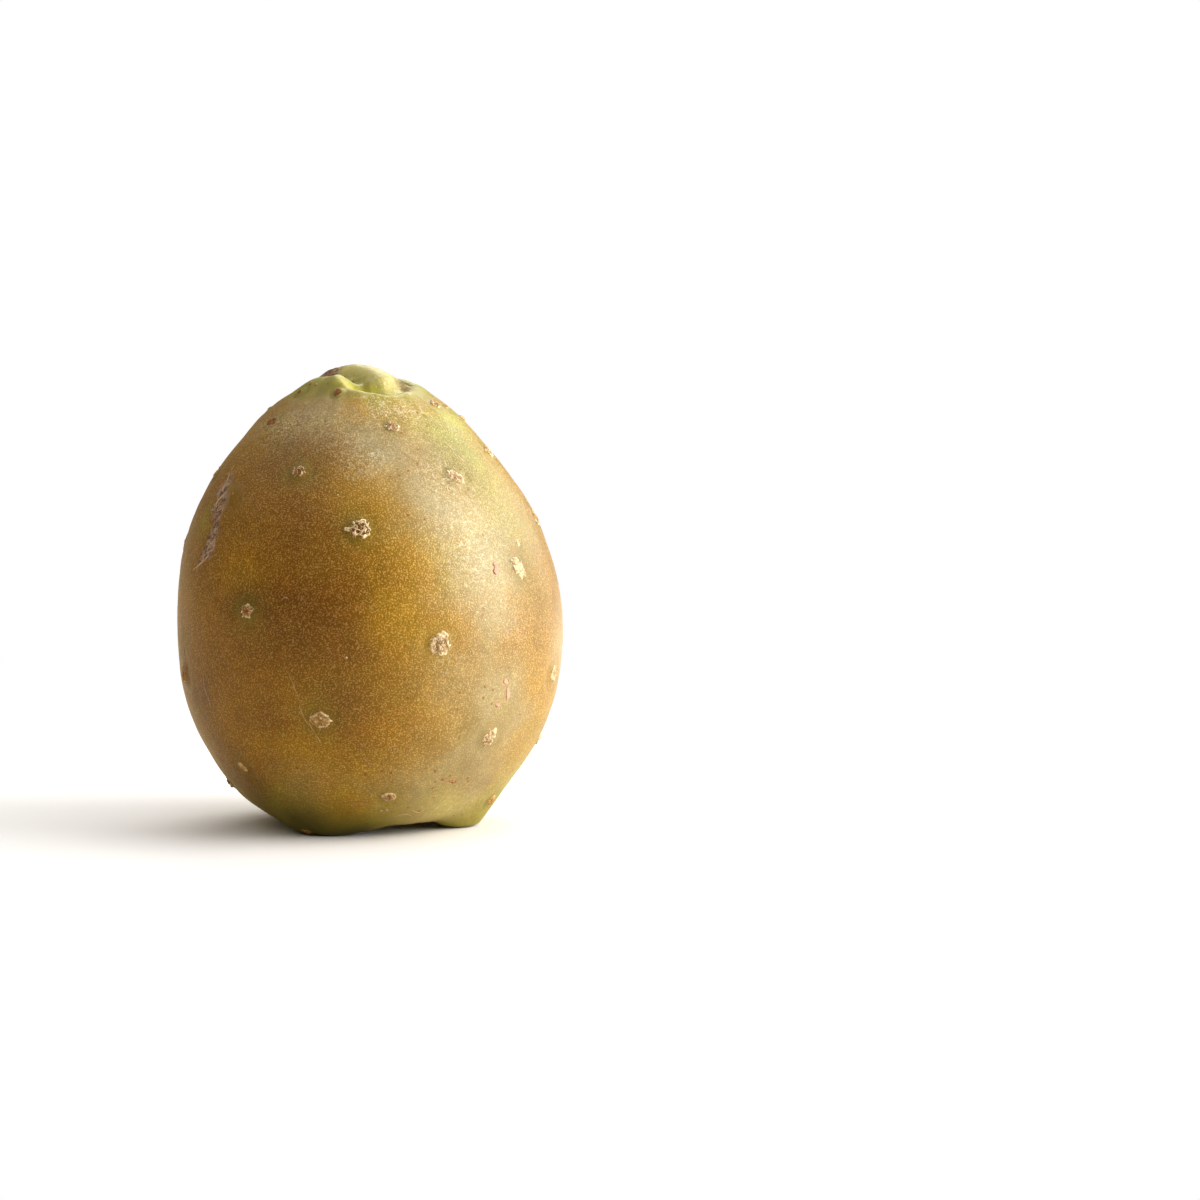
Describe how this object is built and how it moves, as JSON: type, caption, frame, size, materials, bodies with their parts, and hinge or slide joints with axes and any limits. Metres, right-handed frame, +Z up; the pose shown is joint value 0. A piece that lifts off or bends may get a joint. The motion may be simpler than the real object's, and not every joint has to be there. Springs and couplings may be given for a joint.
{
  "type": "prickly pear fruit",
  "caption": "Whole prickly pear fruit: an egg-shaped cactus fruit with raised areoles, a folded flower scar on top and a blunt lobed base that it stands on.",
  "frame": {"origin": "on the surface that the fruit stands on, under the middle of its bounding box", "axes": "+Z up along the fruit from its stem end to its flower scar, -Y towards the side that the picture shows, +X to the right of that view"},
  "size_m": [0.0572, 0.0548, 0.068],
  "materials": {
    "skin": "waxy semi-matt fruit skin, olive brown to golden yellow, green round the areoles and both ends"
  },
  "bodies": {
    "root": {"fruit": "skin"}
  },
  "joints": []
}
